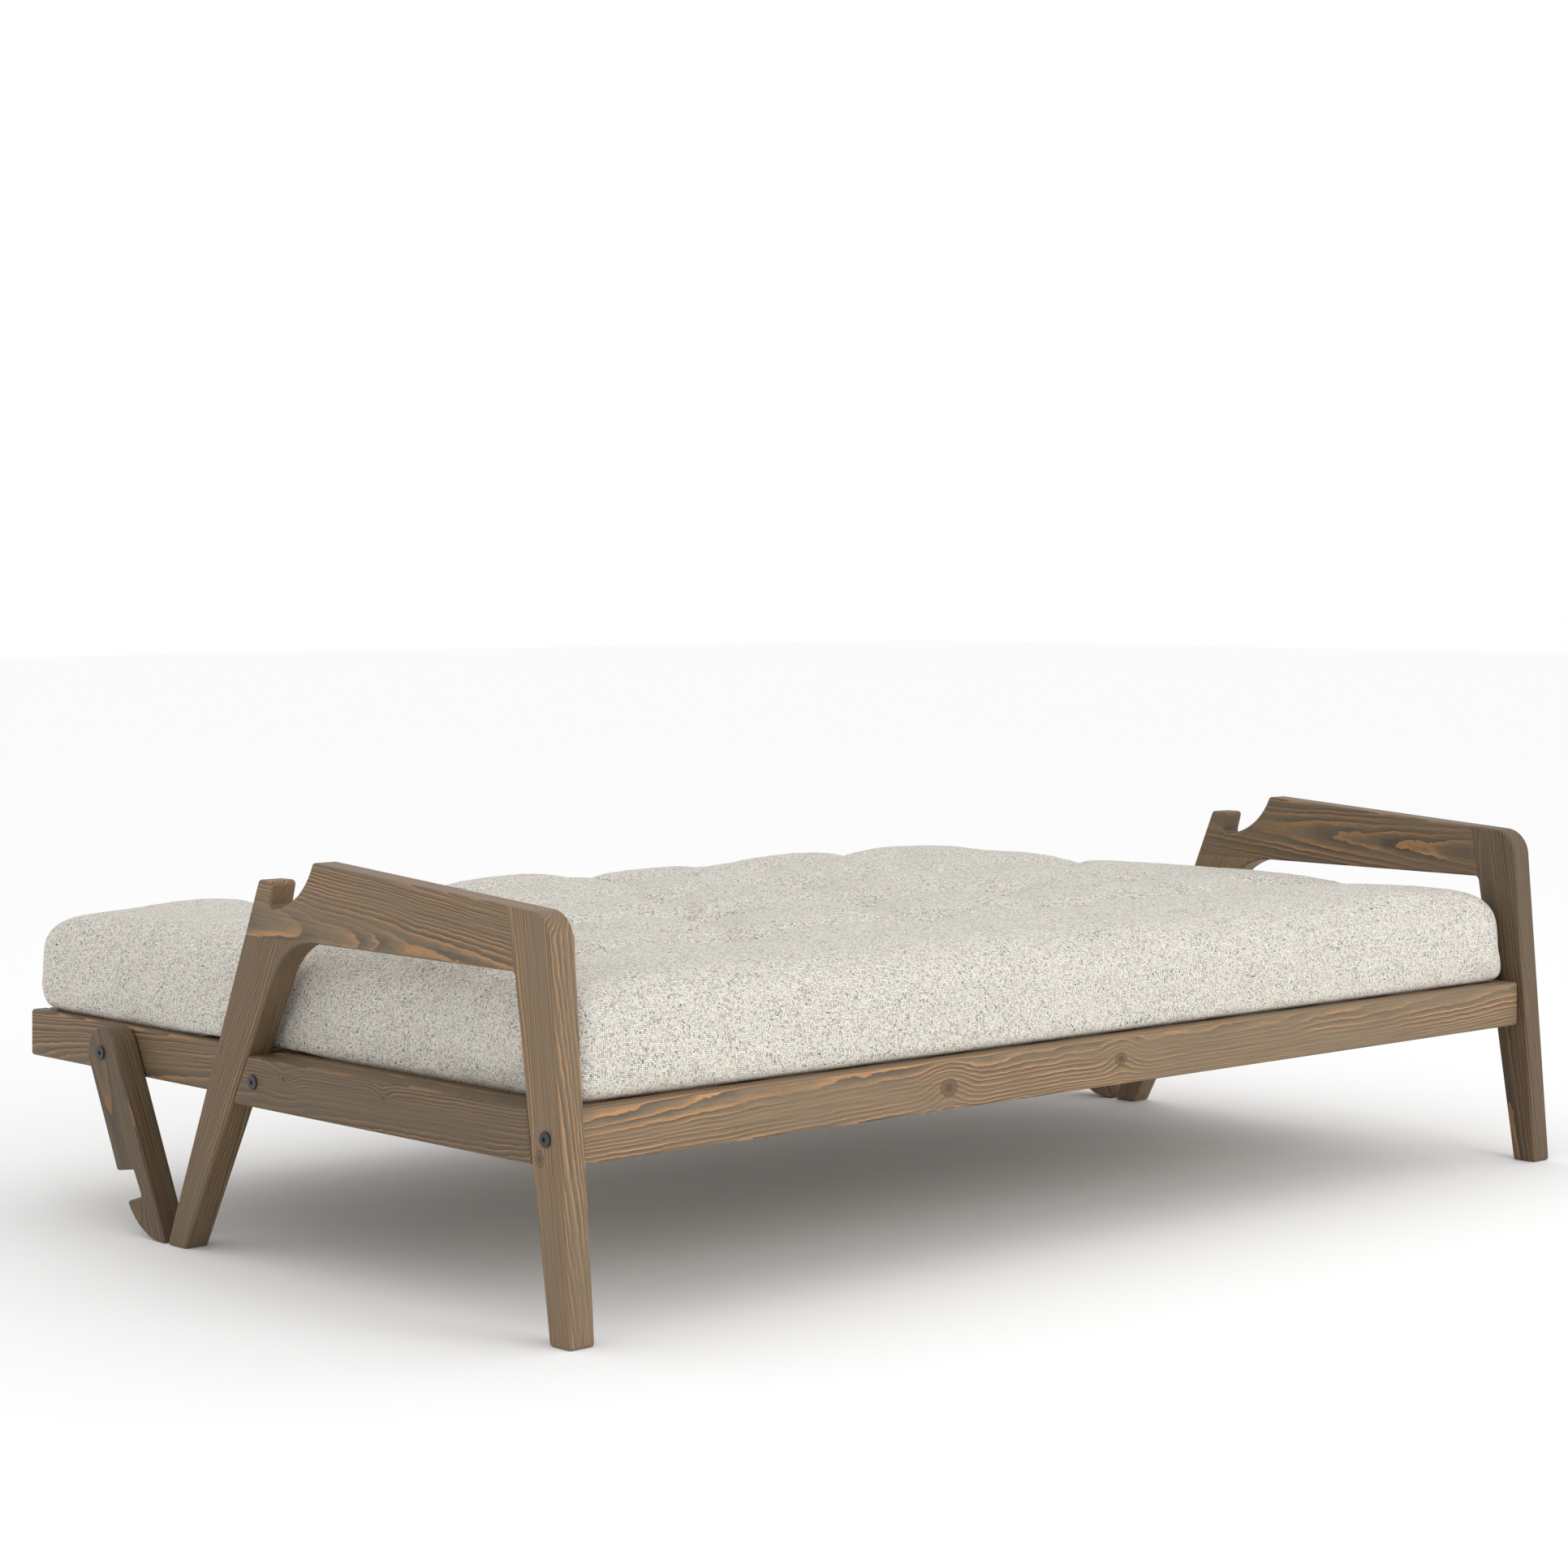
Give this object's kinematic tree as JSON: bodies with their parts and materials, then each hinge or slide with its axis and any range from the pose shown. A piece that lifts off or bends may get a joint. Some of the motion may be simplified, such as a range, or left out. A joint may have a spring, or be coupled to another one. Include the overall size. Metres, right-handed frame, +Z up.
{
  "type": "futon sofa bed",
  "caption": "Flat bed-position sofa bed: open pine arm frames, slatted seat and back frames on a fold hinge, swinging hook legs and a thick tufted fabric mattress.",
  "frame": {"origin": "middle of the footprint, on the floor", "axes": "+X along the long front rail to the right, +Y from the front to the back, +Z up"},
  "size_m": [2.046, 1.3596, 0.5647],
  "materials": {
    "stained_pine": "brown-grey stain on brushed pine, satin",
    "slat_pine": "same stain, plain sawn",
    "beech_dowel": "bare wood",
    "black_steel": "black oxide, satin",
    "zinc_steel": "zinc plated",
    "mattress_fabric": "off-white tweed weave with grey, blue and tan flecks",
    "mattress_filling": "foam and cotton layers"
  },
  "bodies": {
    "base": {"arm_dowels": "beech_dowel", "frame_bolts": "black_steel", "frame_cross_nuts": "zinc_steel", "hinge_bolts": "black_steel", "hinge_washers": "zinc_steel", "left_arm_side_rail": "stained_pine", "left_armrest": "stained_pine", "left_front_leg": "stained_pine", "left_rear_leg": "stained_pine", "left_seat_side_rail": "stained_pine", "mattress_fold": "mattress_fabric", "mattress_seat_cover": "mattress_fabric", "mattress_seat_filling": "mattress_filling", "right_arm_side_rail": "stained_pine", "right_armrest": "stained_pine", "right_front_leg": "stained_pine", "right_rear_leg": "stained_pine", "right_seat_side_rail": "stained_pine", "seat_corner_dowels": "beech_dowel", "seat_front_ledger": "slat_pine", "seat_front_rail": "stained_pine", "seat_rear_ledger": "slat_pine", "seat_rear_rail": "stained_pine", "seat_slat_1": "slat_pine", "seat_slat_10": "slat_pine", "seat_slat_2": "slat_pine", "seat_slat_3": "slat_pine", "seat_slat_4": "slat_pine", "seat_slat_5": "slat_pine", "seat_slat_6": "slat_pine", "seat_slat_7": "slat_pine", "seat_slat_8": "slat_pine", "seat_slat_9": "slat_pine", "seat_slat_screws": "zinc_steel"},
    "back": {"back_corner_dowels": "beech_dowel", "back_far_rail": "stained_pine", "back_front_ledger": "slat_pine", "back_hinge_rail": "stained_pine", "back_rear_ledger": "slat_pine", "back_slat_1": "slat_pine", "back_slat_10": "slat_pine", "back_slat_2": "slat_pine", "back_slat_3": "slat_pine", "back_slat_4": "slat_pine", "back_slat_5": "slat_pine", "back_slat_6": "slat_pine", "back_slat_7": "slat_pine", "back_slat_8": "slat_pine", "back_slat_9": "slat_pine", "back_slat_screws": "zinc_steel", "hook_pivot_bolts": "black_steel", "hook_pivot_nuts": "zinc_steel", "hook_pivot_washers": "zinc_steel", "left_back_side_rail": "stained_pine", "mattress_back_cover": "mattress_fabric", "mattress_back_filling": "mattress_filling", "right_back_side_rail": "stained_pine"},
    "left_hook": {"left_hook_leg": "stained_pine"},
    "right_hook": {"right_hook_leg": "stained_pine"}
  },
  "joints": [
    {"name": "back_fold", "type": "hinge", "parent": "base", "child": "back", "pos_m": [0, 0.1039, 0.2545], "axis": [1, 0, 0], "range_deg": [0, 74.75], "deforming": ["mattress_fold"]},
    {"name": "left_hook_swing", "type": "hinge", "parent": "back", "child": "left_hook", "pos_m": [-1, 0.408, 0.2545], "axis": [1, 0, 0], "range_deg": [0, 226.95]},
    {"name": "right_hook_swing", "type": "hinge", "parent": "back", "child": "right_hook", "pos_m": [1, 0.408, 0.2545], "axis": [1, 0, 0], "range_deg": [0, 226.95]}
  ]
}
